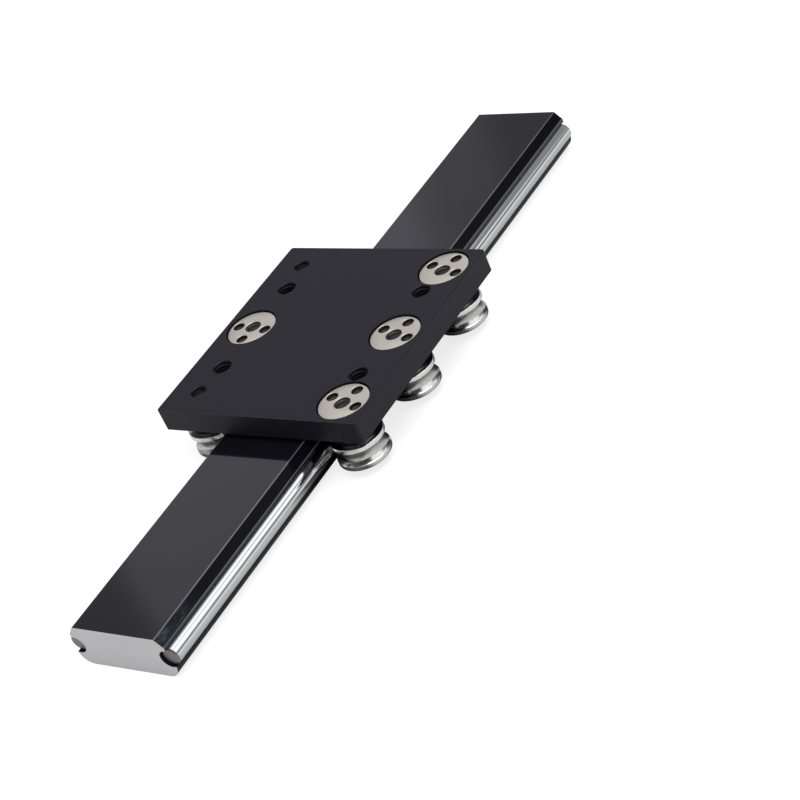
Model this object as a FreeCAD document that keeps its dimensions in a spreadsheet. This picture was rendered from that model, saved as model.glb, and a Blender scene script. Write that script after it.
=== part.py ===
import FreeCAD, Part
import os
import Sketcher

# Roller linear guide: an aluminium rail with a hardened steel shaft along each side, and a
# flat carriage plate that hangs six grooved rollers on those shafts. Four of the rollers turn on
# eccentric adjusters, which set their play on the shaft.
# X runs along the rail, Z is up, and the origin is the middle of the rail's underside.
# Right is the side towards -Y, and front is the end towards -X.

SIZES = [
    ("rail_length", 252.7, "length of the rail"),
    ("rail_height", 14.2, "rail underside to its flat top"),
    ("shaft_diameter", 6.0, "steel shaft"),
    ("shaft_spacing", 34.5, "between the two shafts' axes"),
    ("shaft_height", 7.1, "rail underside to the shafts' axes"),
    ("shaft_recess", 1.0, "each shaft end inside the rail's end face"),
    ("shaft_end_chamfer", 0.4, "chamfer on the shaft ends"),
    ("shaft_seat_clearance", 0.03, "radial, groove wall to shaft"),
    ("tip_reach", 0.45, "upper lip of the groove beyond the shaft's axis"),
    ("lip_reach", 1.25, "lower lip of the groove beyond the shaft's axis"),
    ("base_corner_radius", 4.5, "round along the rail's lower corners"),
    ("rail_chamfer_width", 2.4, "top chamfer, across the rail"),
    ("rail_chamfer_height", 2.85, "top chamfer, down the rail's side"),
    ("rail_hole_pitch", 100.0, "between tapped holes in the rail's underside"),
    ("rail_hole_diameter", 5.0, "M5 thread in those holes, across its roots"),
    ("rail_hole_depth", 9.0, "blind depth of those holes"),
    ("plate_end_margin", 9.65, "end roller stations to the carriage plate's end faces"),
    ("plate_side_margin", 10.25, "roller axes to the carriage plate's side faces"),
    ("plate_thickness", 8.0, "carriage plate"),
    ("plate_gap", 0.65, "rail top to the plate's underside"),
    ("plate_corner_radius", 1.0, "upright corners of the plate"),
    ("plate_edge_chamfer", 0.25, "broken edges of the plate"),
    ("carriage_rest", -3.56, "middle of the carriage at rest, along the rail"),
    ("mount_pitch_along", 39.5, "tapped holes in the plate, along the rail"),
    ("mount_pitch_across", 52.5, "tapped holes in the plate, across the rail"),
    ("mount_hole_diameter", 6.0, "M6 thread in those holes, across its roots"),
    ("mount_mouth_diameter", 6.5, "countersunk mouth of the M6 holes"),
    ("roller_pitch", 31.6, "between neighbouring roller stations"),
    ("roller_diameter", 17.0, "outer ring over its rims"),
    ("roller_width", 8.0, "both rings of a roller"),
    ("roller_offset", 10.5, "roller axis to shaft axis"),
    ("groove_contact_angle", 40.0, "degrees, groove flank's contact on the shaft"),
    ("groove_clearance", 0.05, "groove flank to shaft"),
    ("groove_root_gap", 0.2, "flat groove root to shaft"),
    ("outer_ring_bore", 11.2, "inside of the outer ring"),
    ("inner_ring_diameter", 8.6, "outside of the inner ring"),
    ("roller_bore", 5.0, "inner ring's bore, for an M5 bolt"),
    ("cage_clearance", 0.1, "ball cage to each ring, radial"),
    ("cage_width", 6.0, "ball cage along the roller's axis"),
    ("collar_diameter", 10.8, "spacer collar between roller and plate"),
    ("bolt_clearance", 0.02, "radial, around every roller bolt"),
    ("bolt_head_diameter", 9.0, "low head under the roller"),
    ("bolt_head_height", 2.5, "low head under the roller"),
    ("bolt_end_depth", 1.5, "bolt end below the plate's top"),
    ("bolt_mouth_diameter", 5.6, "countersunk mouth over the fixed rollers' bolts"),
    ("socket_width", 3.0, "hexagon socket across its flats"),
    ("socket_depth", 1.5, "hexagon socket in the head"),
    ("adjuster_diameter", 16.25, "flange of an eccentric adjuster"),
    ("adjuster_thickness", 3.0, "flange of an eccentric adjuster"),
    ("adjuster_recess", 0.45, "flange top below the plate's top"),
    ("adjuster_edge_chamfer", 0.3, "upper edge of the flange"),
    ("adjuster_boss_diameter", 8.4, "boss through the plate"),
    ("adjuster_boss_clearance", 0.03, "radial, boss to its bore"),
    ("adjuster_seat_clearance", 0.02, "flange and collar to the plate's faces"),
    ("adjuster_eccentricity", 0.7, "roller axis to adjuster axis"),
    ("right_turn", 162.0, "degrees, where the right adjusters point their rollers"),
    ("left_turn", -4.0, "degrees, where the left adjuster points its roller"),
    ("counterbore_diameter", 17.0, "recess for the flange in the plate"),
    ("spanner_hole_diameter", 3.5, "blind holes for a pin spanner"),
    ("spanner_hole_radius", 5.5, "those holes' distance from the adjuster's axis"),
    ("spanner_hole_depth", 1.6, "blind depth of those holes"),
]

# Every roller: its name, its side (1 is left), its station along the carriage, and whether it
# turns on an eccentric adjuster.
ROLLERS = [
    ("right_front", -1, -1, True),
    ("right_middle", -1, 0, True),
    ("right_back", -1, 1, True),
    ("left_front", 1, -1, False),
    ("left_middle", 1, 0, True),
    ("left_back", 1, 1, False),
]

document = FreeCAD.newDocument("RollerLinearGuide")
sheet = document.addObject("Spreadsheet::Sheet", "Sizes")
for row, (alias, number, meaning) in enumerate(SIZES, start=1):
    sheet.set(f"A{row}", meaning)
    sheet.set(f"B{row}", str(number))
    sheet.setAlias(f"B{row}", alias)
document.recompute()


# Formulas on the sheet, shared by the pieces that have to agree

RAIL_TIP = "(Sizes.shaft_spacing / 2 + Sizes.tip_reach)"
RAIL_LIP = "(Sizes.shaft_spacing / 2 + Sizes.lip_reach)"
SHAFT_RADIUS = "(Sizes.shaft_diameter / 2)"
ROLLER_Y = "(Sizes.shaft_spacing / 2 + Sizes.roller_offset)"
PLATE_UNDERSIDE = "(Sizes.rail_height + Sizes.plate_gap)"
PLATE_TOP = f"({PLATE_UNDERSIDE} + Sizes.plate_thickness)"
ROLLER_TOP = "(Sizes.shaft_height + Sizes.roller_width / 2)"
ROLLER_BOTTOM = "(Sizes.shaft_height - Sizes.roller_width / 2)"
BOLT_BOTTOM = f"({ROLLER_BOTTOM} - Sizes.bolt_head_height)"
BOLT_RADIUS = "(Sizes.roller_bore / 2 - Sizes.bolt_clearance)"
FLANGE_SEAT_DEPTH = "(Sizes.adjuster_recess + Sizes.adjuster_thickness + Sizes.adjuster_seat_clearance)"
BOSS_BORE_RADIUS = "(Sizes.adjuster_boss_diameter / 2 + Sizes.adjuster_boss_clearance)"


def value(formula):
    """The number that a formula gives with the sheet's sizes."""
    result = sheet.evalExpression(formula)
    return float(getattr(result, "Value", result))


def adjuster_turn(side):
    """The angle from an adjuster's axis to its roller's axis."""
    return f"({'Sizes.left_turn' if side > 0 else 'Sizes.right_turn'} * 1 deg)"


def adjuster_place(side, station):
    """An adjuster's axis in the carriage's own frame, so that its roller touches the shaft."""
    across = f"({side} * {ROLLER_Y} - Sizes.adjuster_eccentricity * sin({adjuster_turn(side)}))"
    return f"({station} * Sizes.roller_pitch)", across


def roller_place(side, station, eccentric):
    """A roller's axis in the carriage's own frame."""
    along = f"({station} * Sizes.roller_pitch)"
    if eccentric:
        along = f"({along} + Sizes.adjuster_eccentricity * cos({adjuster_turn(side)}))"
    return along, f"({side} * {ROLLER_Y})"


# Building blocks

def new_body(label, along="0", across="0", up="0"):
    """A body whose place is bound to the sheet."""
    body = document.addObject("PartDesign::Body", label)
    body.Label = label
    for axis, formula in (("x", along), ("y", across), ("z", up)):
        body.setExpression(f"Placement.Base.{axis}", formula)
    return body


def new_sketch(body, name, role, up=None):
    """A sketch on one of the body's own origin planes, raised along its normal."""
    sketch = body.newObject("Sketcher::SketchObject", name)
    plane = [item for item in body.Origin.OriginFeatures if item.Role == role][0]
    sketch.AttachmentSupport = [(plane, "")]
    sketch.MapMode = "FlatFace"
    if up:
        sketch.setExpression("AttachmentOffset.Base.z", up)
    return sketch


def bind(sketch, kind, geometry, point, formula):
    """Holds a point's distance from the sketch's origin, or a radius, to a formula."""
    if formula == "0":
        axis = -2 if kind == "DistanceX" else -1
        sketch.addConstraint(Sketcher.Constraint("PointOnObject", geometry, point, axis))
        return
    if kind == "Radius":
        constraint = Sketcher.Constraint(kind, geometry, value(formula))
    else:
        constraint = Sketcher.Constraint(kind, -1, 1, geometry, point, value(formula))
    index = sketch.addConstraint(constraint)
    sketch.setExpression(f"Constraints[{index}]", formula)


def quarter_round(start, end, radius):
    """The arc of that radius that bulges to the right of the way from start to end."""
    chord = end - start
    rise = radius - (radius**2 - chord.Length**2 / 4) ** 0.5
    outward = FreeCAD.Vector(chord.y, -chord.x, 0).normalize()
    return Part.Arc(start, (start + end) / 2 + outward * rise, end)


def draw_outline(sketch, corners):
    """A closed chain of lines through (across, up) corners, counterclockwise. A corner with a
    third value starts an arc of that radius instead, which bulges outwards."""
    points = [FreeCAD.Vector(value(corner[0]), value(corner[1]), 0) for corner in corners]
    ends = []
    for number, corner in enumerate(corners):
        start, end = points[number], points[(number + 1) % len(points)]
        if len(corner) == 2:
            edge = Part.LineSegment(start, end)
        else:
            edge = quarter_round(start, end, value(corner[2]))
        geometry = sketch.addGeometry(edge, False)
        first_is_start = (sketch.getPoint(geometry, 1) - start).Length < 1e-6
        ends.append((geometry, 1, 2) if first_is_start else (geometry, 2, 1))
        if len(corner) == 3:
            bind(sketch, "Radius", geometry, None, corner[2])
    for number, corner in enumerate(corners):
        geometry, start, _ = ends[number]
        before, _, end = ends[number - 1]
        sketch.addConstraint(Sketcher.Constraint("Coincident", before, end, geometry, start))
        bind(sketch, "DistanceX", geometry, start, corner[0])
        bind(sketch, "DistanceY", geometry, start, corner[1])


def draw_circles(sketch, places, radius):
    """Circles of one radius, centred on (across, up) formulas."""
    for across, up in places:
        centre = FreeCAD.Vector(value(across), value(up), 0)
        circle = Part.Circle(centre, FreeCAD.Vector(0, 0, 1), value(radius))
        geometry = sketch.addGeometry(circle, False)
        bind(sketch, "Radius", geometry, None, radius)
        bind(sketch, "DistanceX", geometry, 3, across)
        bind(sketch, "DistanceY", geometry, 3, up)


def pad(body, sketch, length, symmetric=False):
    feature = body.newObject("PartDesign::Pad", f"{sketch.Name}Pad")
    feature.Profile = sketch
    feature.SideType = "Symmetric" if symmetric else "One side"
    feature.setExpression("Length", length)
    document.recompute()
    return feature


def cut(body, sketch, depth=None, symmetric=False, upwards=False):
    """A pocket to a depth, or through everything, that has to take material away."""
    before = body.Shape.Volume
    feature = body.newObject("PartDesign::Pocket", f"{sketch.Name}Cut")
    feature.Profile = sketch
    feature.SideType = "Symmetric" if symmetric else "One side"
    feature.Reversed = upwards
    if depth:
        feature.setExpression("Length", depth)
    else:
        feature.Type = "ThroughAll"
    document.recompute()
    if body.Shape.Volume >= before:
        raise RuntimeError(f"{feature.Name} takes nothing away")
    return feature


def turned_body(label, corners, along, across, up):
    """A body turned about its own Z from an outline of (radius, up) corners."""
    body = new_body(label, along, across, up)
    sketch = new_sketch(body, f"{label}_section", "XZ_Plane")
    draw_outline(sketch, corners)
    turning = body.newObject("PartDesign::Revolution", f"{label}_turning")
    turning.Profile = sketch
    turning.ReferenceAxis = (sketch, ["V_Axis"])
    turning.Angle = 360
    document.recompute()
    return body


def tube_corners(inner, outer, bottom, top):
    return [(inner, bottom), (outer, bottom), (outer, top), (inner, top)]


def carriage_point(place):
    """A point of the carriage's own frame, in the rail's frame."""
    return f"Sizes.carriage_rest + {place[0]}", place[1]


# Rail

def build_rail():
    rail = new_body("rail_extrusion")
    section = new_sketch(rail, "rail_section", "YZ_Plane")
    flat = f"{RAIL_LIP} - Sizes.base_corner_radius"
    shoulder = f"{RAIL_TIP} - Sizes.rail_chamfer_width"
    chamfer_foot = "Sizes.rail_height - Sizes.rail_chamfer_height"
    draw_outline(section, [
        (f"-({flat})", "0"),
        (flat, "0", "Sizes.base_corner_radius"),
        (RAIL_LIP, "Sizes.base_corner_radius"),
        (RAIL_LIP, "Sizes.shaft_height"),
        (RAIL_TIP, "Sizes.shaft_height"),
        (RAIL_TIP, chamfer_foot),
        (shoulder, "Sizes.rail_height"),
        (f"-({shoulder})", "Sizes.rail_height"),
        (f"-{RAIL_TIP}", chamfer_foot),
        (f"-{RAIL_TIP}", "Sizes.shaft_height"),
        (f"-{RAIL_LIP}", "Sizes.shaft_height"),
        (f"-{RAIL_LIP}", "Sizes.base_corner_radius", "Sizes.base_corner_radius"),
    ])
    pad(rail, section, "Sizes.rail_length", symmetric=True)
    grooves = new_sketch(rail, "shaft_grooves", "YZ_Plane")
    seats = [(f"{side} * Sizes.shaft_spacing / 2", "Sizes.shaft_height") for side in (-1, 1)]
    draw_circles(grooves, seats, f"{SHAFT_RADIUS} + Sizes.shaft_seat_clearance")
    cut(rail, grooves, "Sizes.rail_length", symmetric=True)
    holes = new_sketch(rail, "rail_holes", "XY_Plane")
    places = [("-Sizes.rail_hole_pitch", "0"), ("0", "0"), ("Sizes.rail_hole_pitch", "0")]
    draw_circles(holes, places, "Sizes.rail_hole_diameter / 2")
    cut(rail, holes, "Sizes.rail_hole_depth", upwards=True)
    return rail


def build_shaft(label, side):
    """A round bar pressed into the rail's groove, short of both end faces."""
    end = "(Sizes.rail_length / 2 - Sizes.shaft_recess)"
    body = new_body(label, "0", f"{side} * Sizes.shaft_spacing / 2", "Sizes.shaft_height")
    section = new_sketch(body, f"{label}_section", "XZ_Plane")
    chamfered = f"{end} - Sizes.shaft_end_chamfer"
    face = f"{SHAFT_RADIUS} - Sizes.shaft_end_chamfer"
    draw_outline(section, [
        (f"-{end}", "0"),
        (end, "0"),
        (end, face),
        (chamfered, SHAFT_RADIUS),
        (f"-({chamfered})", SHAFT_RADIUS),
        (f"-{end}", face),
    ])
    turning = body.newObject("PartDesign::Revolution", f"{label}_turning")
    turning.Profile = section
    turning.ReferenceAxis = (section, ["H_Axis"])
    turning.Angle = 360
    document.recompute()
    return body


# Carriage

def break_edges(body, feature, size):
    """A small chamfer round the top and the bottom of a block."""
    chamfer = body.newObject("PartDesign::Chamfer", f"{feature.Name}Edges")
    level_edges = [
        f"Edge{number}"
        for number, edge in enumerate(feature.Shape.Edges, start=1)
        if edge.BoundBox.ZLength < 1e-6
    ]
    chamfer.Base = (feature, level_edges)
    chamfer.setExpression("Size", size)
    document.recompute()


def drill(body, sketch, diameter, mouth):
    """Holes through the plate with a countersunk mouth."""
    before = body.Shape.Volume
    hole = body.newObject("PartDesign::Hole", f"{sketch.Name}Hole")
    hole.Profile = sketch
    document.recompute()
    hole.DepthType = "ThroughAll"
    hole.HoleCutType = "Countersink"
    hole.HoleCutCountersinkAngle = 90
    hole.setExpression("Diameter", diameter)
    hole.setExpression("HoleCutDiameter", mouth)
    document.recompute()
    if body.Shape.Volume >= before:
        raise RuntimeError(f"{hole.Name} takes nothing away")


def build_plate():
    plate = new_body("carriage_plate", "Sizes.carriage_rest", "0", PLATE_UNDERSIDE)
    outline = new_sketch(plate, "plate_outline", "XY_Plane")
    half_length = "(Sizes.roller_pitch + Sizes.plate_end_margin)"
    half_width = f"({ROLLER_Y} + Sizes.plate_side_margin)"
    corner = "Sizes.plate_corner_radius"
    flat_length, flat_width = f"({half_length} - {corner})", f"({half_width} - {corner})"
    draw_outline(outline, [
        (f"-{flat_length}", f"-{half_width}"),
        (flat_length, f"-{half_width}", corner),
        (half_length, f"-{flat_width}"),
        (half_length, flat_width, corner),
        (flat_length, half_width),
        (f"-{flat_length}", half_width, corner),
        (f"-{half_length}", flat_width),
        (f"-{half_length}", f"-{flat_width}", corner),
    ])
    block = pad(plate, outline, "Sizes.plate_thickness")
    break_edges(plate, block, "Sizes.plate_edge_chamfer")
    adjusters = [adjuster_place(side, station) for _, side, station, eccentric in ROLLERS if eccentric]
    seats = new_sketch(plate, "adjuster_seats", "XY_Plane", up="Sizes.plate_thickness")
    draw_circles(seats, adjusters, "Sizes.counterbore_diameter / 2")
    cut(plate, seats, FLANGE_SEAT_DEPTH)
    bores = new_sketch(plate, "adjuster_bores", "XY_Plane", up="Sizes.plate_thickness")
    draw_circles(bores, adjusters, BOSS_BORE_RADIUS)
    cut(plate, bores)
    fixed = [roller_place(side, station, False) for _, side, station, eccentric in ROLLERS if not eccentric]
    threads = new_sketch(plate, "roller_threads", "XY_Plane", up="Sizes.plate_thickness")
    draw_circles(threads, fixed, "Sizes.roller_bore / 2")
    drill(plate, threads, "Sizes.roller_bore", "Sizes.bolt_mouth_diameter")
    corners = [
        (f"{end} * Sizes.mount_pitch_along / 2", f"{side} * Sizes.mount_pitch_across / 2")
        for end in (-1, 1)
        for side in (-1, 1)
    ]
    mounts = new_sketch(plate, "mount_threads", "XY_Plane", up="Sizes.plate_thickness")
    draw_circles(mounts, corners, "Sizes.mount_hole_diameter / 2")
    drill(plate, mounts, "Sizes.mount_hole_diameter", "Sizes.mount_mouth_diameter")
    return plate


def build_adjuster(name, side, station):
    """A flange in the plate's counterbore with a boss below it. The bolt's thread is off its axis,
    and three blind holes take a pin spanner."""
    along, across = carriage_point(adjuster_place(side, station))
    flange = "Sizes.adjuster_diameter / 2"
    boss = "Sizes.adjuster_boss_diameter / 2"
    edge = "Sizes.adjuster_edge_chamfer"
    foot = "-(Sizes.plate_thickness - Sizes.adjuster_recess - Sizes.adjuster_seat_clearance)"
    body = turned_body(f"adjuster_{name}", [
        ("0", foot),
        (boss, foot),
        (boss, "-Sizes.adjuster_thickness"),
        (flange, "-Sizes.adjuster_thickness"),
        (flange, f"-{edge}"),
        (f"{flange} - {edge}", "0"),
        ("0", "0"),
    ], along, across, f"{PLATE_TOP} - Sizes.adjuster_recess")
    body.setExpression("Placement.Rotation.Angle", adjuster_turn(side))
    thread = new_sketch(body, f"thread_{name}", "XY_Plane")
    draw_circles(thread, [("Sizes.adjuster_eccentricity", "0")], "Sizes.roller_bore / 2")
    cut(body, thread)
    reach = "Sizes.spanner_hole_radius"
    spanner = new_sketch(body, f"spanner_{name}", "XY_Plane")
    draw_circles(spanner, [("0", reach), (f"-{reach}", "0"), ("0", f"-{reach}")],
                 "Sizes.spanner_hole_diameter / 2")
    cut(body, spanner, "Sizes.spanner_hole_depth")
    return body


# Rollers

def groove_half_width(from_shaft):
    """Half the groove's opening at a distance from the shaft's axis: the flank is the tangent of
    the shaft at the contact angle, moved out by the clearance."""
    angle = "(Sizes.groove_contact_angle * 1 deg)"
    reach = f"({SHAFT_RADIUS} + Sizes.groove_clearance)"
    return f"(({reach} - ({from_shaft}) * cos({angle})) / sin({angle}))"


def build_outer_ring(name, along, across):
    rim = "Sizes.roller_diameter / 2"
    root = f"Sizes.roller_offset - {SHAFT_RADIUS} - Sizes.groove_root_gap"
    bore = "Sizes.outer_ring_bore / 2"
    face = "Sizes.roller_width / 2"
    mouth = groove_half_width(f"Sizes.roller_offset - {rim}")
    floor = groove_half_width(f"{SHAFT_RADIUS} + Sizes.groove_root_gap")
    return turned_body(f"outer_ring_{name}", [
        (bore, f"-{face}"),
        (rim, f"-{face}"),
        (rim, f"-{mouth}"),
        (root, f"-{floor}"),
        (root, floor),
        (rim, mouth),
        (rim, face),
        (bore, face),
    ], along, across, "Sizes.shaft_height")


def build_inner_ring(name, along, across):
    corners = tube_corners("Sizes.roller_bore / 2", "Sizes.inner_ring_diameter / 2",
                           "-Sizes.roller_width / 2", "Sizes.roller_width / 2")
    return turned_body(f"inner_ring_{name}", corners, along, across, "Sizes.shaft_height")


def build_ball_cage(name, along, across):
    """The ring that keeps the balls apart, with the space of the balls."""
    corners = tube_corners("Sizes.inner_ring_diameter / 2 + Sizes.cage_clearance",
                           "Sizes.outer_ring_bore / 2 - Sizes.cage_clearance",
                           "-Sizes.cage_width / 2", "Sizes.cage_width / 2")
    return turned_body(f"ball_cage_{name}", corners, along, across, "Sizes.shaft_height")


def build_collar(name, along, across):
    """The spacer that holds the roller's inner ring off the plate."""
    height = f"{PLATE_UNDERSIDE} - Sizes.adjuster_seat_clearance - {ROLLER_TOP}"
    corners = tube_corners("Sizes.roller_bore / 2", "Sizes.collar_diameter / 2", "0", height)
    return turned_body(f"spacer_collar_{name}", corners, along, across, ROLLER_TOP)


def build_bolt(name, along, across):
    """The bolt up through the roller and its collar, with a hexagon socket in its low head."""
    head = "Sizes.bolt_head_diameter / 2"
    end = f"{PLATE_TOP} - Sizes.bolt_end_depth - {BOLT_BOTTOM}"
    body = turned_body(f"roller_bolt_{name}", [
        ("0", "0"),
        (head, "0"),
        (head, "Sizes.bolt_head_height"),
        (BOLT_RADIUS, "Sizes.bolt_head_height"),
        (BOLT_RADIUS, end),
        ("0", end),
    ], along, across, BOLT_BOTTOM)
    socket = new_sketch(body, f"socket_{name}", "XY_Plane")
    corner = "Sizes.socket_width / sqrt(3)"
    draw_outline(socket, [
        (f"{corner} * cos({30 + 60 * turn} deg)" if turn % 3 != 1 else "0",
         f"{corner} * sin({30 + 60 * turn} deg)")
        for turn in range(6)
    ])
    cut(body, socket, "Sizes.socket_depth", upwards=True)
    return body


def build_roller(name, side, station, eccentric):
    along, across = carriage_point(roller_place(side, station, eccentric))
    pieces = (build_outer_ring, build_inner_ring, build_ball_cage, build_collar, build_bolt)
    return [build(name, along, across) for build in pieces]


parts = [build_rail(), build_shaft("shaft_left", 1), build_shaft("shaft_right", -1), build_plate()]
for roller in ROLLERS:
    parts += build_roller(*roller)
    if roller[3]:
        parts.append(build_adjuster(*roller[:3]))
document.recompute()

for item in document.Objects:
    if "Invalid" in item.State or "Error" in item.State:
        raise RuntimeError(f"{item.Label} failed: {item.State}")

os.makedirs("parts", exist_ok=True)
for part in parts:
    if part.Shape.isNull() or not part.Shape.isValid():
        raise RuntimeError(f"{part.Label} has no valid shape")
    part.Shape.exportStep(f"parts/{part.Label}.step")
    print(f"{part.Label}: {len(part.Shape.Solids)} solid, {part.Shape.Volume:.1f} mm3")
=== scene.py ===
import math

import bpy
import numpy as np
from mathutils import Matrix, Vector


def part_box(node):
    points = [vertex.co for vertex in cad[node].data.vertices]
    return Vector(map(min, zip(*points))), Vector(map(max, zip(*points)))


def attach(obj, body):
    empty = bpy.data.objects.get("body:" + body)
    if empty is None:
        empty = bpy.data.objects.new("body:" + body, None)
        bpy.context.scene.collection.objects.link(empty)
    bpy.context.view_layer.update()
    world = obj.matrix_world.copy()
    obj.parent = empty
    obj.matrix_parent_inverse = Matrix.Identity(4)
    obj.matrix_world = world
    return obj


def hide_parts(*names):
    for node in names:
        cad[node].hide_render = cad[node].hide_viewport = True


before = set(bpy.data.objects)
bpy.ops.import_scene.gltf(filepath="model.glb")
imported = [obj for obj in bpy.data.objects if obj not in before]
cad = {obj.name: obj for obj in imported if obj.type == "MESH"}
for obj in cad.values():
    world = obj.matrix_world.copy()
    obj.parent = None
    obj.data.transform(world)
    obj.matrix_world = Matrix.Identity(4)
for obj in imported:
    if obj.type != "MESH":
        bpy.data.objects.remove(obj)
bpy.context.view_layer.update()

# Names of the guide's parts. Right is towards -Y and front towards -X.

ROLLERS = ["right_front", "right_middle", "right_back", "left_front", "left_middle", "left_back"]
ADJUSTED = ["right_front", "right_middle", "right_back", "left_middle"]
FIXED = ["left_front", "left_back"]

# Sizes that several pieces share, in metres

MM = 0.001
M5_ROOT, M5_PITCH = 2.5 * MM, 0.8 * MM
M6_ROOT, M6_PITCH = 3.0 * MM, 1.0 * MM
MOUNT_PITCH_ALONG, MOUNT_PITCH_ACROSS = 39.5 * MM, 52.5 * MM
RAIL_HOLE_PITCH, RAIL_HOLE_DEPTH = 100 * MM, 9 * MM
CARRIAGE_REST = -3.56 * MM
FINE_RELIEF = 0.01 * MM
SHARP_ANGLE = math.radians(32)


def middle(node):
    """The middle of a node's box."""
    low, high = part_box(node)
    return (low + high) / 2


# Shader values as Python expressions

class Value:
    """A shader socket that takes part in sums: each operator adds its Math node."""

    def __init__(self, nodes, socket):
        self.nodes = nodes
        self.socket = socket

    def math(self, operation, *others, first=None):
        """A Math node on this value and others, or on another first operand and them."""
        sources = [self if first is None else first, *others]
        return self.nodes.node("ShaderNodeMath", {"operation": operation}, sources)

    def __add__(self, other):
        return self.math("ADD", other)

    def __radd__(self, other):
        return self.math("ADD", other)

    def __sub__(self, other):
        return self.math("SUBTRACT", other)

    def __rsub__(self, other):
        return self.math("SUBTRACT", self, first=other)

    def __mul__(self, other):
        return self.math("MULTIPLY", other)

    def __rmul__(self, other):
        return self.math("MULTIPLY", other)

    def __pow__(self, other):
        return self.math("POWER", other)

    def __abs__(self):
        return self.math("ABSOLUTE")

    def above(self, edge, width):
        """0 below the edge and 1 above it, with a soft step of that width."""
        settings = {"interpolation_type": "SMOOTHSTEP", "clamp": True}
        values = {"Value": self, "From Min": edge - width / 2, "From Max": edge + width / 2}
        return self.nodes.node("ShaderNodeMapRange", settings, values)

    def below(self, edge, width):
        """1 below the edge and 0 above it."""
        return 1 - self.above(edge, width)

    def between(self, low, high, width):
        """1 from low to high, with a soft step at each end."""
        return self.above(low, width) * self.below(high, width)

    def spread(self, low, high):
        """Takes a value from 0 to 1 to the range from low to high."""
        return self * (high - low) + low


class Nodes:
    """A node tree that Value expressions add to."""

    def __init__(self, tree):
        self.tree = tree

    def put(self, socket, source):
        """Links a Value to a socket, or sets the socket to a constant."""
        if isinstance(source, Value):
            self.tree.links.new(source.socket, socket)
        else:
            socket.default_value = source

    def node(self, kind, settings, sources, output=0):
        """Adds a node: its settings first, then values or links by socket name or in order."""
        made = self.tree.nodes.new(kind)
        for name, setting in settings.items():
            setattr(made, name, setting)
        items = sources.items() if isinstance(sources, dict) else enumerate(sources)
        for key, source in items:
            self.put(made.inputs[key], source)
        return Value(self, made.outputs[output])

    def split(self, vector):
        made = self.tree.nodes.new("ShaderNodeSeparateXYZ")
        self.put(made.inputs[0], vector)
        return [Value(self, made.outputs[axis]) for axis in range(3)]

    def join(self, x, y, z):
        return self.node("ShaderNodeCombineXYZ", {}, [x, y, z])

    def noise(self, vector, scale, detail=2.0, roughness=0.5):
        values = {"Vector": vector, "Scale": scale, "Detail": detail, "Roughness": roughness}
        return self.node("ShaderNodeTexNoise", {}, values)

    def blend(self, share, first, second):
        """A colour between two colours."""
        made = self.tree.nodes.new("ShaderNodeMix")
        made.data_type = "RGBA"
        self.put(made.inputs["Factor"], share)
        colours = [socket for socket in made.inputs if socket.type == "RGBA"]
        self.put(colours[0], first)
        self.put(colours[1], second)
        return Value(self, [socket for socket in made.outputs if socket.type == "RGBA"][0])

    def bump(self, height, strength, distance):
        values = {"Strength": strength, "Distance": distance, "Height": height}
        return self.node("ShaderNodeBump", {}, values)


class Finish(Nodes):
    """A node material with one Principled shader, its patterns placed in the object's metres."""

    def __init__(self, name):
        self.material = bpy.data.materials.new(name)
        self.material.use_nodes = True
        super().__init__(self.material.node_tree)
        self.shader = self.tree.nodes["Principled BSDF"]
        self.place = self.node("ShaderNodeTexCoord", {}, {}, output="Object")
        self.x, self.y, self.z = self.split(self.place)

    def set(self, **sources):
        """Sets or links the Principled shader's sockets, named with _ for a space."""
        for name, source in sources.items():
            self.put(self.shader.inputs[name.replace("_", " ")], source)
        return self.material


def grey(level, warmth=0.0):
    """A linear grey, warmer where warmth is above zero."""
    return (level * (1 + warmth), level, level * (1 - warmth), 1.0)


# Finishes

def plate_finish():
    """Matt black anodising over a fine blasted surface, a little greyer along its edges."""
    low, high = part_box("carriage_plate")
    finish = Finish("matt_black_anodised_plate")
    grain = finish.noise(finish.place, 9000.0, 3.0, 0.6)
    cloud = finish.noise(finish.place, 45.0, 3.0)
    rub = finish.noise(finish.join(finish.x * 300, finish.y * 2200, finish.z * 2200), 1.0, 4.0)
    tone = grain.spread(-0.10, 0.10) + cloud.spread(-0.18, 0.18)
    colour = finish.blend(tone + 0.5, (0.0040, 0.0031, 0.0078, 1), (0.0070, 0.0058, 0.0112, 1))
    centre, half_length, soft = (low.x + high.x) / 2, (high.x - low.x) / 2, 0.2 * MM
    end_edges = abs(finish.x - centre).above(half_length - 0.18 * MM, soft)
    top_edges = finish.z.above(high.z - 0.22 * MM, soft)
    worn = end_edges * top_edges * rub.above(0.45, 0.3)
    colour = finish.blend(worn * 0.5, colour, (0.09, 0.09, 0.095, 1))
    return finish.set(
        Base_Color=colour,
        Roughness=cloud.spread(0.46, 0.56) + grain.spread(-0.04, 0.04),
        Specular_IOR_Level=0.25,
        Normal=finish.bump(grain, 0.12, 2 * FINE_RELIEF),
    )


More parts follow.
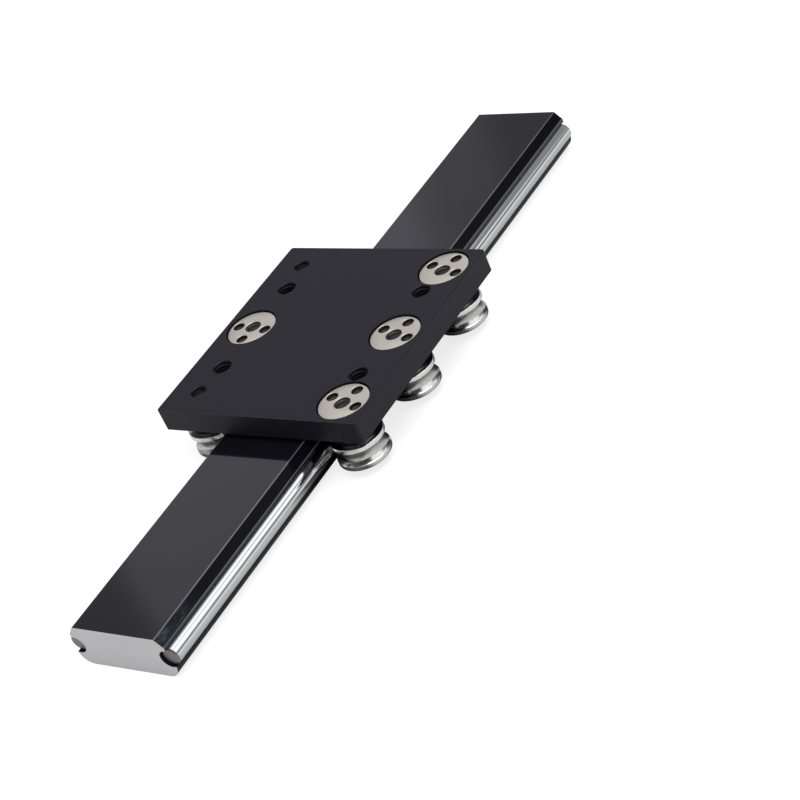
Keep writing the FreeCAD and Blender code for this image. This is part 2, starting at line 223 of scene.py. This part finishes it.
def rail_finish():
    """Satin black anodising drawn along the rail, glossy but for its chamfers, with bright lines on its
    top edges that are partly worn bare and partly a painted edge highlight, scuffs and a bluish tint
    on the chamfers near the front end, and bare sawn metal on the end faces."""
    low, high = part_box("rail_extrusion")
    finish = Finish("satin_black_anodised_rail")
    streak = finish.noise(finish.join(finish.x * 6, finish.y * 3000, finish.z * 3000), 1.0, 4.0, 0.6)
    cloud = finish.noise(finish.join(finish.x * 18, finish.y * 60, finish.z * 60), 1.0, 3.0)
    anodised = streak * 0.6 + cloud * 0.4
    colour = finish.blend(anodised, (0.0018, 0.0016, 0.0034, 1), (0.0042, 0.0040, 0.0066, 1))

    half_flat, half_width, chamfer_drop = 15.3 * MM, 17.7 * MM, 2.85 * MM
    side, top, foot = abs(finish.y), high.z, high.z - chamfer_drop
    # The thin bright lines along the top flat's edges and the chamfers' foot are partly bare metal worn
    # through and partly a painted edge highlight.
    flat_edge = side.between(half_flat - 0.16 * MM, half_flat + 0.15 * MM, 0.12 * MM)
    flat_edge = flat_edge * finish.z.above(top - 0.3 * MM, 0.1 * MM)
    shoulder = finish.z.between(foot - 0.1 * MM, foot + 0.2 * MM, 0.12 * MM)
    patchy = finish.noise(finish.join(finish.x * 70, finish.y * 200, finish.z * 200), 1.0, 3.0)
    worn_and_highlit_edges = (flat_edge + shoulder) * patchy.spread(0.35, 1.0)
    slope = side.between(half_flat + 0.2 * MM, half_width + 0.05 * MM, 0.15 * MM)
    slope = slope * finish.z.above(foot - 0.05 * MM, 0.1 * MM)
    scratches = finish.noise(finish.join(finish.x * 260, finish.y * 2600, finish.z * 2600), 1.0, 5.0, 0.75)
    scuffed = slope * scratches.above(0.56, 0.24) * finish.x.below(low.x + 10 * MM, 26 * MM)
    # The chamfers are tinted bluish towards the front end.
    bluish_front_chamfers = slope * finish.x.below(low.x + 6 * MM, 36 * MM)

    end = abs(finish.x).above(high.x - 0.03 * MM, 0.02 * MM)
    saw = finish.noise(finish.join(0.0, finish.y * 500 + finish.z * 2600, finish.z * 900), 1.0, 5.0, 0.65)
    stain = finish.noise(finish.place, 120.0, 3.0)
    metal = finish.blend(saw * 0.6 + stain * 0.4, (0.60, 0.602, 0.612, 1), (0.79, 0.792, 0.802, 1))

    # Colour layers: the edge lines with their painted highlight, the bluish tint, the scuffs, then the
    # sawn ends.
    colour = finish.blend(worn_and_highlit_edges * 0.55, colour, (0.30, 0.31, 0.32, 1))
    colour = finish.blend(bluish_front_chamfers * 0.42, colour, (0.022, 0.044, 0.062, 1))
    colour = finish.blend(scuffed * 0.45, colour, (0.14, 0.17, 0.19, 1))
    colour = finish.blend(end, colour, metal)
    rough = streak.spread(0.12, 0.18) + cloud.spread(-0.02, 0.02)
    return finish.set(
        Base_Color=colour,
        Metallic=end * 0.3 + worn_and_highlit_edges * 0.5,
        Roughness=rough * (1 - end) + end * saw.spread(0.42, 0.58),
        Specular_IOR_Level=0.05,
        Coat_Weight=(1 - end) * (1 - slope) * finish.z.above(5 * MM, 2 * MM).spread(0.30, 0.95),
        Coat_Roughness=0.06,
        Normal=finish.bump(streak * (1 - end) * 0.12 + saw * end, 0.25, 3 * FINE_RELIEF),
    )


def shaft_finish():
    """Hardened, ground and polished steel, with faint grinding lines and duller sawn ends."""
    low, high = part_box("shaft_right")
    finish = Finish("polished_steel_shaft")
    lines = finish.noise(finish.join(finish.x * 5, finish.y * 2600, finish.z * 2600), 1.0, 3.0)
    smear = finish.noise(finish.join(finish.x * 22, finish.y * 120, finish.z * 120), 1.0, 3.0)
    end = abs(finish.x).above(high.x - 0.42 * MM, 0.03 * MM)
    colour = finish.blend(lines * 0.5 + smear * 0.5, (0.63, 0.635, 0.65, 1), (0.75, 0.755, 0.765, 1))
    colour = finish.blend(end, colour, (0.30, 0.27, 0.275, 1))
    return finish.set(
        Base_Color=colour,
        Metallic=1.0,
        Roughness=smear.spread(0.05, 0.10) * (1 - end) + end * 0.42,
        Normal=finish.bump(lines, 0.04, FINE_RELIEF),
    )


def around(finish, axis):
    """Distance from an upright axis through a point."""
    across = finish.x - axis.x
    along = finish.y - axis.y
    return (across * across + along * along) ** 0.5


def lathe_rings(finish, axis):
    """Fine rings around an upright axis, as a lathe or a grinder leaves them."""
    radius = around(finish, axis)
    return finish.noise(finish.join(radius * 2600, finish.z * 2600, 0), 1.0, 3.0, 0.6)


def collar_finish(name, axis):
    """Turned steel: fine rings around an upright axis in its tone, gloss and relief."""
    finish = Finish(f"turned_collar_{name}")
    rings = lathe_rings(finish, axis)
    smear = finish.noise(finish.place, 260.0, 3.0)
    colour = finish.blend(rings * 0.45 + smear * 0.55, (0.36, 0.36, 0.36, 1), (0.52, 0.52, 0.52, 1))
    return finish.set(
        Base_Color=colour,
        Metallic=1.0,
        Roughness=rings.spread(0.30, 0.38) + smear.spread(-0.03, 0.03),
        Normal=finish.bump(rings + smear * 0.4, 0.22, FINE_RELIEF),
    )


def ring_finish(name, axis):
    """Ground bearing steel: bright lands, and a groove that is rougher in mottled patches, with painted
    shade darkening it in the same patches.
    """
    finish = Finish(f"ground_ring_{name}")
    lines = lathe_rings(finish, axis)
    mottle = finish.noise(finish.join(finish.x * 650, finish.y * 650, finish.z * 1500), 1.0, 4.0, 0.7)
    half_groove, soft = 2.55 * MM, 0.2 * MM
    groove = abs(finish.z - axis.z).below(half_groove, soft) * around(finish, axis).above(7.0 * MM, soft)
    colour = finish.blend(lines * 0.5 + mottle * 0.5, (0.60, 0.595, 0.59, 1), (0.84, 0.835, 0.83, 1))
    # Painted shade: the groove is painted darker in mottled patches.
    colour = finish.blend(groove * mottle.between(0.30, 0.60, 0.2).spread(0.05, 0.50), colour,
                          (0.30, 0.295, 0.29, 1))
    return finish.set(
        Base_Color=colour,
        Metallic=1.0,
        Roughness=lines.spread(0.12, 0.18) + groove * mottle.spread(0.0, 0.12),
        Normal=finish.bump(lines + mottle * 0.5, 0.2, FINE_RELIEF),
    )


def adjuster_finish(name, axis, top):
    """Satin nickel: warm and pale, faintly ringed by the lathe, with painted shade below its top face,
    down the holes.
    """
    finish = Finish(f"satin_nickel_{name}")
    radius = around(finish, axis)
    rings = finish.noise(finish.join(radius * 3000, finish.z * 200, 0), 1.0, 3.0, 0.6)
    speck = finish.noise(finish.place, 1500.0, 3.0, 0.6)
    colour = finish.blend(rings * 0.5 + speck * 0.5, (0.440, 0.404, 0.366, 1), (0.530, 0.488, 0.442, 1))
    # Painted shade: all of the adjuster more than a little below its top face is painted near black, down
    # the holes and on the flange's side.
    rim = 0.18 * MM
    painted_hole_shade = finish.z.below(top - rim, 0.16 * MM)
    colour = finish.blend(painted_hole_shade, colour, (0.030, 0.026, 0.021, 1))
    return finish.set(
        Base_Color=colour,
        Metallic=0.45,
        Roughness=speck.spread(0.40, 0.50),
        Normal=finish.bump(rings * 0.5 + speck * 0.5, 0.08, FINE_RELIEF),
    )


def plain_finish(name, dark, pale, rough, metallic, scale, gloss=0.5):
    """A mottled finish for small hidden pieces."""
    finish = Finish(name)
    mottle = finish.noise(finish.place, scale, 4.0, 0.6)
    return finish.set(
        Base_Color=finish.blend(mottle, dark, pale),
        Metallic=metallic,
        Roughness=mottle.spread(rough - 0.05, rough + 0.05),
        Specular_IOR_Level=gloss,
        Normal=finish.bump(mottle, 0.15, 2 * FINE_RELIEF),
    )


# Surfaces

def grid_mesh(name, points, ring_of_rows):
    """A mesh over a grid of points, rows by columns, closed around its columns. Its rows close into
    a ring where asked, and otherwise its first and last row get a flat cap."""
    rows, columns, _ = points.shape
    row = np.arange(rows if ring_of_rows else rows - 1)[:, None]
    column = np.arange(columns)[None, :]
    next_row, next_column = (row + 1) % rows, (column + 1) % columns
    faces = np.stack([
        row * columns + column,
        row * columns + next_column,
        next_row * columns + next_column,
        next_row * columns + column,
    ], axis=-1).reshape(-1, 4).tolist()
    if not ring_of_rows:
        faces += [list(range(columns))[::-1], list(range((rows - 1) * columns, rows * columns))]
    mesh = bpy.data.meshes.new(name)
    mesh.from_pydata(points.reshape(-1, 3).tolist(), [], faces)
    mesh.shade_smooth()
    mesh.set_sharp_from_angle(angle=SHARP_ANGLE)
    piece = bpy.data.objects.new(name, mesh)
    bpy.context.scene.collection.objects.link(piece)
    return piece


def turned(name, profile, axis, segments=160, ring=True):
    """A profile of (radius, height) points carried round an upright axis: each point traces the
    circle (r cos t, r sin t, z). A profile that isn't a ring gets a cap at each end."""
    turn = np.linspace(0, 2 * np.pi, segments, endpoint=False)[None, :]
    radius, height = profile[:, 0][:, None], profile[:, 1][:, None]
    points = np.stack([
        axis.x + radius * np.cos(turn),
        axis.y + radius * np.sin(turn),
        axis.z + height + 0 * turn,
    ], axis=-1)
    return grid_mesh(name, points, ring)


def arc(centre_r, centre_z, radius, start, stop, count):
    """Points of a circle in the profile's plane, from one angle to another, in degrees."""
    angle = np.radians(np.linspace(start, stop, count))
    return np.stack([centre_r + radius * np.cos(angle), centre_z + radius * np.sin(angle)], axis=-1)


def outer_ring_profile():
    """A roller's outer ring: rounded rims, a groove on one arc a little wider than the shaft, and a
    step in each face for the shield."""
    rim, half, bore, step = 8.5 * MM, 4.0 * MM, 5.6 * MM, 6.5 * MM
    rim_round, step_depth, lip = 0.28 * MM, 0.45 * MM, 0.10 * MM
    groove, centre = 3.4 * MM, 10.83 * MM
    mouth = math.degrees(math.acos((centre - rim) / groove))
    upper = arc(centre, 0, groove, 180, 180 - mouth + 2.5, 18)
    top_rim = arc(rim - rim_round, half - rim_round, rim_round, 0, 90, 6)
    half_profile = np.vstack([
        upper,
        [[rim, upper[-1, 1] + lip]],
        top_rim,
        [[step + 0.1 * MM, half], [step, half - 0.1 * MM], [step, half - step_depth]],
        [[bore + 0.1 * MM, half - step_depth], [bore, half - step_depth - 0.1 * MM]],
    ])
    lower_profile = half_profile[:0:-1] * [1, -1]
    return np.vstack([half_profile, lower_profile])


def shield_profile(side):
    """A pressed shield: a thin dished washer that fits the outer ring's step."""
    outer, inner, sheet = 6.45 * MM, 4.45 * MM, 0.18 * MM
    seat, crown = 3.56 * MM, 3.78 * MM
    upper = np.array([
        [outer, seat + sheet], [outer - 0.25 * MM, crown], [outer - 0.7 * MM, crown],
        [inner + 0.5 * MM, crown - 0.12 * MM], [inner, crown - 0.12 * MM],
    ])
    lower = upper[::-1] - [0, sheet]
    profile = np.vstack([upper, lower]) * [1, side]
    return profile[::side]


def thread_ridge(name, axis, root, pitch, low, high):
    """A screw thread's crest inside a hole: a 60 degree ridge carried along the helix
    (r cos t, r sin t, pitch t / 2 pi), faded in and out over half a turn at each end."""
    depth, foot, flat = 0.54 * pitch, 0.42 * pitch, 0.08 * pitch
    turns = (high - low - 2 * foot) / pitch
    turn = np.linspace(0, 2 * np.pi * turns, int(turns * 48))[:, None]
    fade = np.clip(np.minimum(turn, turn[-1] - turn) / np.pi, 0.02, 1)
    inward = np.array([0.0, 0.0, depth, depth, 0.0])[None, :] * fade
    inward[:, 0] = -0.02 * MM
    upward = np.array([0.0, -foot, -flat, flat, foot])[None, :] * fade
    radius = root - inward
    height = low + foot + pitch * turn / (2 * np.pi) + upward
    points = np.stack([axis.x + radius * np.cos(turn), axis.y + radius * np.sin(turn), height], axis=-1)
    return grid_mesh(name, points, False)


def bolt_surface(name, low, high):
    """A low-headed bolt on its node's axis: rows of a radius that depends on the turn t, from the
    floor of the hexagon socket, r = w / (2 cos(t mod 60 - 30)), over the head and up the shank to a
    thread, r = shank - depth * |wave(z / pitch - t / 2 pi)|, and a chamfered end."""
    axis = (low + high) / 2
    head, shank = (high.x - low.x) / 2, 2.48 * MM
    socket, socket_depth, countersink = 3.0 * MM, 1.5 * MM, 1.9 * MM
    head_top, head_edge, neck_edge = low.z + 2.5 * MM, 0.3 * MM, 0.15 * MM
    thread_length, depth, flank, end_chamfer = 4.0 * MM, 0.42 * MM, 2.6, 0.45 * MM
    turn = np.linspace(0, 2 * np.pi, 96, endpoint=False)
    hexagon = socket / 2 / np.cos(turn % (np.pi / 3) - np.pi / 6)
    lower = [
        (hexagon, low.z + socket_depth), (hexagon, low.z + 0.25 * MM),
        (countersink, low.z), (head - head_edge, low.z), (head, low.z + head_edge),
        (head, head_top - neck_edge), (head - neck_edge, head_top), (shank, head_top),
    ]
    rows = [(radius + 0 * turn, height) for radius, height in lower]
    heights = np.linspace(high.z - thread_length, high.z, 61)
    wave = (heights[:, None] / M5_PITCH - turn[None, :] / (2 * np.pi)) % 1.0
    cut = np.clip(1 - np.abs(wave - 0.5) * flank, 0, 1) * depth
    taper = np.minimum(shank, shank - end_chamfer + (high.z - heights))[:, None]
    start = np.clip((heights - heights[0]) / M5_PITCH, 0, 1)[:, None]
    thread = np.minimum(shank - cut * start, taper)
    radius = np.vstack([[row[0] for row in rows], thread])
    height = np.concatenate([[row[1] for row in rows], heights])[:, None] + 0 * turn
    points = np.stack([axis.x + radius * np.cos(turn), axis.y + radius * np.sin(turn), height], axis=-1)
    return grid_mesh(name, points, False)


def cut_holes(piece, drills):
    """Takes drill shapes out of a piece."""
    for number, drill in enumerate(drills):
        hole = piece.modifiers.new(f"hole_{number}", "BOOLEAN")
        hole.operation, hole.solver, hole.object = "DIFFERENCE", "EXACT", drill
    bpy.context.view_layer.update()
    depsgraph = bpy.context.evaluated_depsgraph_get()
    mesh = bpy.data.meshes.new_from_object(piece.evaluated_get(depsgraph))
    piece.modifiers.clear()
    piece.data = mesh
    for drill in drills:
        bpy.data.objects.remove(drill)
    mesh.shade_smooth()
    mesh.set_sharp_from_angle(angle=SHARP_ANGLE)
    return piece


def adjuster_piece(name):
    """An eccentric adjuster as turned and drilled: a chamfered flange and its boss, an off-centre
    hole with a broken edge, and three spanner holes with drill points at their bottoms."""
    low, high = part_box(f"adjuster_{name}")
    axis, bolt = (low + high) / 2, middle(f"roller_bolt_{name}")
    flange, boss, edge, thickness = (high.x - low.x) / 2, 4.2 * MM, 0.3 * MM, 3.0 * MM
    boss_edge, lower_edge = 0.2 * MM, 0.1 * MM
    base = Vector((axis.x, axis.y, 0))
    body = turned(f"nickel_adjuster_{name}", np.array([
        [boss - boss_edge, low.z], [boss, low.z + boss_edge], [boss, high.z - thickness],
        [flange - lower_edge, high.z - thickness], [flange, high.z - thickness + lower_edge],
        [flange, high.z - edge], [flange - edge * 0.35, high.z - edge * 0.35], [flange - edge, high.z],
    ]), base, 192, ring=False)
    over, bore_rim = 0.5 * MM, 0.28 * MM
    spanner, spanner_rim, reach = 1.88 * MM, 0.16 * MM, 5.5 * MM
    wall_end, point, point_radius = 1.3 * MM, 2.1 * MM, 0.05 * MM
    drills = [turned("drill", np.array([
        [M5_ROOT, low.z - over], [M5_ROOT, high.z - bore_rim], [M5_ROOT + bore_rim + over, high.z + over],
    ]), Vector((bolt.x, bolt.y, 0)), 96, ring=False)]
    aim = math.atan2(bolt.y - axis.y, bolt.x - axis.x)
    for quarter in (1, 2, 3):
        turn = aim + quarter * math.pi / 2
        place = base + Vector((math.cos(turn), math.sin(turn), 0)) * reach
        drills.append(turned("drill", np.array([
            [point_radius, high.z - point], [spanner, high.z - wall_end],
            [spanner, high.z - spanner_rim], [spanner + spanner_rim + over, high.z + over],
        ]), place, 64, ring=False))
    return cut_holes(body, drills)


# Dressing the parts

def dress(piece, material, body=None):
    """Gives a piece its one material and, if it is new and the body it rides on."""
    piece.data.materials.clear()
    piece.data.materials.append(material)
    if body:
        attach(piece, body)
    return piece


dress(cad["carriage_plate"], plate_finish())
dress(cad["rail_extrusion"], rail_finish())
steel = shaft_finish()
dress(cad["shaft_left"], steel)
dress(cad["shaft_right"], steel)

shield_black = plain_finish("black_seal", (0.012, 0.012, 0.012, 1), (0.03, 0.03, 0.03, 1),
                            rough=0.5, metallic=0.0, scale=900.0)
cage_steel = plain_finish("pressed_steel_cage", (0.32, 0.31, 0.29, 1), (0.48, 0.47, 0.45, 1),
                          rough=0.38, metallic=0.9, scale=700.0)
bolt_steel = plain_finish("oiled_dark_bolt", (0.030, 0.028, 0.027, 1), (0.085, 0.08, 0.078, 1),
                          rough=0.36, metallic=0.9, scale=900.0)
black_thread = plain_finish("black_thread", (0.003, 0.003, 0.0035, 1), (0.006, 0.006, 0.007, 1),
                            rough=0.45, metallic=0.0, scale=2000.0, gloss=0.08)

for name in ROLLERS:
    axis = middle(f"outer_ring_{name}")
    holder = f"adjuster_{name}" if name in ADJUSTED else "carriage"
    ground = ring_finish(name, axis)
    ring = turned(f"grooved_ring_{name}", outer_ring_profile(), axis)
    dress(ring, ground, f"roller_{name}")
    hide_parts(f"outer_ring_{name}")
    for side, face in ((1, "upper"), (-1, "lower")):
        shield = turned(f"{face}_shield_{name}", shield_profile(side), axis, 96)
        dress(shield, shield_black, f"roller_{name}")
    bolt = bolt_surface(f"threaded_bolt_{name}", *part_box(f"roller_bolt_{name}"))
    dress(bolt, bolt_steel, holder)
    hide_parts(f"roller_bolt_{name}")
    dress(cad[f"inner_ring_{name}"], ground)
    dress(cad[f"ball_cage_{name}"], cage_steel)
    dress(cad[f"spacer_collar_{name}"], collar_finish(name, axis))

# Each thread over a bolt begins a little below the bolt's end, where the bolt hides its first turn.
THREAD_OVERLAP = 1.2 * MM

for name in ADJUSTED:
    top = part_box(f"adjuster_{name}")[1].z
    nickel = adjuster_finish(name, middle(f"adjuster_{name}"), top)
    adjuster = adjuster_piece(name)
    dress(adjuster, nickel, f"adjuster_{name}")
    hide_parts(f"adjuster_{name}")
    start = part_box(f"roller_bolt_{name}")[1].z - THREAD_OVERLAP
    thread = thread_ridge(f"adjuster_thread_{name}", middle(f"roller_bolt_{name}"), M5_ROOT, M5_PITCH,
                          start, top - 0.2 * MM)
    dress(thread, nickel, f"adjuster_{name}")

plate_low, plate_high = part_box("carriage_plate")
for name in FIXED:
    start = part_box(f"roller_bolt_{name}")[1].z - THREAD_OVERLAP
    thread = thread_ridge(f"plate_thread_{name}", middle(f"roller_bolt_{name}"), M5_ROOT, M5_PITCH,
                          start, plate_high.z - 0.3 * MM)
    dress(thread, black_thread, "carriage")

plate_middle = (plate_low + plate_high) / 2
for end, along in (("front", -1), ("back", 1)):
    for side, across in (("right", -1), ("left", 1)):
        hole = plate_middle + Vector((along * MOUNT_PITCH_ALONG / 2, across * MOUNT_PITCH_ACROSS / 2, 0))
        thread = thread_ridge(f"mount_thread_{side}_{end}", hole, M6_ROOT, M6_PITCH,
                              plate_low.z + 0.05 * MM, plate_high.z - 0.25 * MM)
        dress(thread, black_thread, "carriage")

for label, along in (("front", -1), ("middle", 0), ("back", 1)):
    hole = Vector((along * RAIL_HOLE_PITCH, 0, 0))
    thread = thread_ridge(f"rail_thread_{label}", hole, M5_ROOT, M5_PITCH,
                          0.05 * MM, RAIL_HOLE_DEPTH - 0.1 * MM)
    dress(thread, black_thread, "rail")


# Stage, light and camera

def add_floor():
    """A pale floor with a painted shadow beneath the carriage and painted shade near the rail, paler
    further out, which reflections and bounced light see. The camera sees it lifted towards white,
    with the object's shadow still on it."""
    bpy.ops.mesh.primitive_plane_add(size=6.0, location=(0, 0, 0))
    floor = bpy.context.object
    floor.name = "studio_floor"
    material = bpy.data.materials.new("pale_floor")
    material.use_nodes = True
    nodes = Nodes(material.node_tree)
    seen = nodes.node("ShaderNodeLightPath", {}, {}, output="Is Camera Ray")
    shader = nodes.tree.nodes["Principled BSDF"]
    shader.inputs["Roughness"].default_value = 0.9
    shader.inputs["Specular IOR Level"].default_value = 0.0
    shader.inputs["Emission Strength"].default_value = 1.0
    x, y, _ = nodes.split(nodes.node("ShaderNodeTexCoord", {}, {}, output="Object"))
    aside = abs(y)
    # Painted shadow: the floor is painted dark beneath the carriage.
    carriage_painted_shadow = aside.below(37.5 * MM, 5 * MM) * abs(x - CARRIAGE_REST).below(50 * MM, 14 * MM)
    # Painted shade: the floor is painted darker within about 41 mm of the rail's middle line.
    tone = nodes.blend(aside.above(41 * MM, 8 * MM), grey(0.56), grey(0.76))
    tone = nodes.blend(carriage_painted_shadow, tone, grey(0.10))
    nodes.put(shader.inputs["Base Color"], nodes.blend(seen, tone, grey(0.30)))
    nodes.put(shader.inputs["Emission Color"], nodes.blend(seen, grey(0.0), grey(0.78)))
    floor.data.materials.append(material)


def add_world():
    """A white room to the camera. The part is lit by a soft sky, brightest overhead, and reflects
    pale panels with dark gaps between them."""
    world = bpy.data.worlds.new("white_room")
    bpy.context.scene.world = world
    world.use_nodes = True
    nodes = Nodes(world.node_tree)
    camera_ray = nodes.node("ShaderNodeLightPath", {}, {}, output="Is Camera Ray")
    glossy_ray = nodes.node("ShaderNodeLightPath", {}, {}, output="Is Glossy Ray")
    x, y, z = nodes.split(nodes.node("ShaderNodeTexCoord", {}, {}, output="Generated"))
    turn = y.math("ARCTAN2", x) * (180 / math.pi)

    # Each panel's outline, by its turn round the vertical in degrees and its height z, and its
    # brightness. A later panel covers an earlier one.
    panels = [
        # the ceiling light and a dimmer strip across its edge
        (z.above(0.772, 0.08), 1.4),
        (turn.between(-37.5, -33, 2.0) * z.above(0.74, 0.02), 0.55),
        # what the flat tops reflect towards the camera, from the guide's back end to its front
        (turn.between(26, 39, 2.0) * z.between(0.30, 0.72, 0.1), 0.26),
        (turn.between(39, 41, 2.0) * z.between(0.30, 0.72, 0.1), 0.40),
        (turn.between(41.5, 54.6, 1.0) * z.between(0.30, 0.72, 0.1), 0.66),
        (turn.between(54.7, 88, 1.0) * z.between(0.10, 0.72, 0.1), 0.30),
        # what the tops of the shafts reflect
        (turn.between(27, 50, 4.0) * z.between(0.61, 0.75, 0.04), 0.10),
        (turn.between(12, 34, 6.0) * z.between(0.70, 0.90, 0.04), 0.5),
        # softboxes and the dark gaps between them, which draw the bands on shafts and rollers
        (turn.between(-64, -41, 4.0) * z.between(0.36, 0.78, 0.04), 1.4),
        (turn.between(-39, 23, 4.0) * z.between(0.39, 0.74, 0.04), 0.30),
        (turn.between(-66, -41, 4.0) * z.between(0.02, 0.33, 0.04), 0.34),
        (turn.between(-39, 5, 4.0) * z.between(-0.1, 0.38, 0.04), 0.05),
        (turn.between(8, 32, 6.0) * z.between(0.10, 0.50, 0.06), 1.8),
        (turn.between(-122, -66, 4.0) * z.between(0.02, 0.80, 0.12), 1.5),
        # the dark side behind the camera
        (turn.below(-125, 5.0) * z.between(-0.1, 0.80, 0.1), 0.05),
        (turn.above(150, 20.0) * z.below(0.8, 0.2), 0.12),
    ]
    level = 0.5
    for mask, brightness in panels:
        level = mask * brightness + (1 - mask) * level
    diffuse = z.spread(0.22, 1.07)
    # a little bluer than grey, and more so where the flat tops look
    cool = 1.02 + 0.10 * (turn.between(26, 58, 4.0) * z.between(0.30, 0.72, 0.1))
    reflected = nodes.join(level, level, level * cool)
    sky = nodes.blend(glossy_ray, nodes.join(diffuse, diffuse, diffuse), reflected)
    colour = nodes.blend(camera_ray, sky, grey(1.0))
    nodes.put(nodes.tree.nodes["Background"].inputs["Color"], colour)


def add_lamp(name, place, target, size, watts):
    """A rectangular area light that faces its target."""
    data = bpy.data.lights.new(name, "AREA")
    data.shape = "RECTANGLE"
    data.size, data.size_y = size
    data.energy = watts
    lamp = bpy.data.objects.new(name, data)
    bpy.context.scene.collection.objects.link(lamp)
    lamp.location = place
    lamp.rotation_euler = (Vector(target) - Vector(place)).to_track_quat("-Z", "Y").to_euler()


def add_camera():
    """The photograph's view: a long lens, above the right front end, rolled to the left."""
    data = bpy.data.cameras.new("camera")
    data.sensor_width = 36.0
    data.lens = 96.19
    data.clip_start = 0.01
    camera = bpy.data.objects.new("camera", data)
    bpy.context.scene.collection.objects.link(camera)
    place = Vector((-0.39956, -0.40411, 0.35480))
    look = Vector((0.60050, 0.58526, -0.54486)).normalized()
    up = Vector((0.64560, 0.04719, 0.76221))
    right = look.cross(up).normalized()
    up = right.cross(look)
    turn = Matrix((right, up, -look)).transposed()
    camera.matrix_world = Matrix.Translation(place) @ turn.to_4x4()
    bpy.context.scene.camera = camera


add_floor()
add_world()
add_lamp("key_softbox", place=(-0.1, -0.35, 0.8), target=(0, 0, 0), size=(0.7, 0.5), watts=4.0)
add_camera()
bpy.context.scene.view_settings.view_transform = "Standard"
